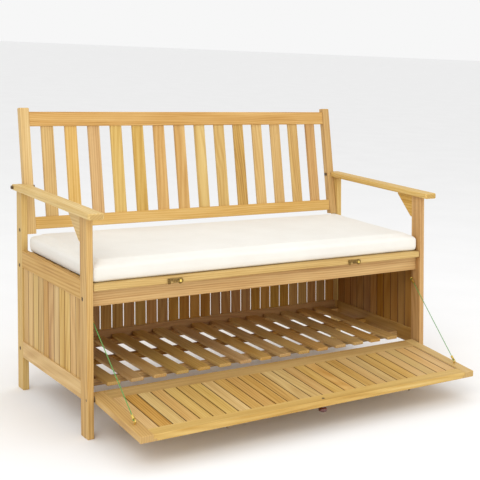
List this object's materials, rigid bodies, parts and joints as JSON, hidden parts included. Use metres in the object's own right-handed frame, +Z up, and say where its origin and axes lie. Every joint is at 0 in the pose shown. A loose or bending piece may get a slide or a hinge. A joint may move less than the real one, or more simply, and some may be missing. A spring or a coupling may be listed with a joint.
{
  "type": "slatted garden storage bench",
  "caption": "Slatted wooden garden bench with armrests, a seat cushion and a storage box under the seat, its front flap folded down on two stay cords.",
  "frame": {"origin": "on the ground under the middle of the bench, with the front flap folded open, which is the rest pose", "axes": "+X to the right as seen from the front, +Y from the front to the backrest, +Z up"},
  "size_m": [1.2108, 0.8784, 0.8715],
  "materials": {
    "oiled_wood": "oiled light hardwood with straight grain",
    "cushion_fabric": "cream woven polyester",
    "antique_brass": "antique brass, dull",
    "bright_brass": "bright brass plate",
    "zinc_steel": "dull yellow-zinc plated steel",
    "green_cord": "braided nylon cord",
    "dark_knob": "dark red-brown lacquer"
  },
  "bodies": {
    "root": {"arm_bolt_nuts": "zinc_steel", "arm_bolts": "zinc_steel", "back_bottom_rail": "oiled_wood", "back_slats": "oiled_wood", "back_top_rail": "oiled_wood", "floor_bearers": "oiled_wood", "floor_slats": "oiled_wood", "front_apron": "oiled_wood", "front_leg_bolts": "zinc_steel", "latch_pivot_screws": "antique_brass", "latch_spacers": "antique_brass", "left_arm_bracket": "oiled_wood", "left_armrest": "oiled_wood", "left_back_stile": "oiled_wood", "left_front_leg": "oiled_wood", "left_lower_side_rail": "oiled_wood", "left_rear_leg": "oiled_wood", "left_side_boards": "oiled_wood", "left_stay_cord": "green_cord", "left_upper_side_rail": "oiled_wood", "leg_cord_ferrules": "bright_brass", "leg_screw_eyes": "bright_brass", "rear_boards": "oiled_wood", "rear_leg_bolts": "zinc_steel", "rear_lower_rail": "oiled_wood", "rear_upper_rail": "oiled_wood", "right_arm_bracket": "oiled_wood", "right_armrest": "oiled_wood", "right_back_stile": "oiled_wood", "right_front_leg": "oiled_wood", "right_lower_side_rail": "oiled_wood", "right_rear_leg": "oiled_wood", "right_side_boards": "oiled_wood", "right_stay_cord": "green_cord", "right_upper_side_rail": "oiled_wood", "seat_bearers": "oiled_wood", "seat_cushion": "cushion_fabric", "seat_front_board": "oiled_wood", "seat_slats": "oiled_wood"},
    "flap": {"flap_boards": "oiled_wood", "flap_cord_ferrules": "bright_brass", "flap_edge_rail": "oiled_wood", "flap_hinge_rail": "oiled_wood", "flap_left_stile": "oiled_wood", "flap_pivot_pins": "zinc_steel", "flap_pivot_washers": "zinc_steel", "flap_right_stile": "oiled_wood", "flap_screw_eyes": "bright_brass", "pull_knob": "dark_knob", "knob_screw": "zinc_steel", "latch_pegs": "zinc_steel"},
    "left_latch": {"left_latch_hook": "antique_brass"},
    "right_latch": {"right_latch_hook": "antique_brass"}
  },
  "joints": [
    {"name": "flap_hinge", "type": "hinge", "parent": "root", "child": "flap", "pos_m": [0, -0.13895, 0.1092], "axis": [-1, 0, 0], "range_deg": [0, 94.56], "deforming": ["left_stay_cord", "right_stay_cord"]},
    {"name": "left_latch_pivot", "type": "hinge", "parent": "root", "child": "left_latch", "pos_m": [-0.312, -0.1511, 0.419], "axis": [0, -1, 0], "range_deg": [0, 90]},
    {"name": "right_latch_pivot", "type": "hinge", "parent": "root", "child": "right_latch", "pos_m": [0.312, -0.1511, 0.419], "axis": [0, -1, 0], "range_deg": [0, 90]}
  ]
}
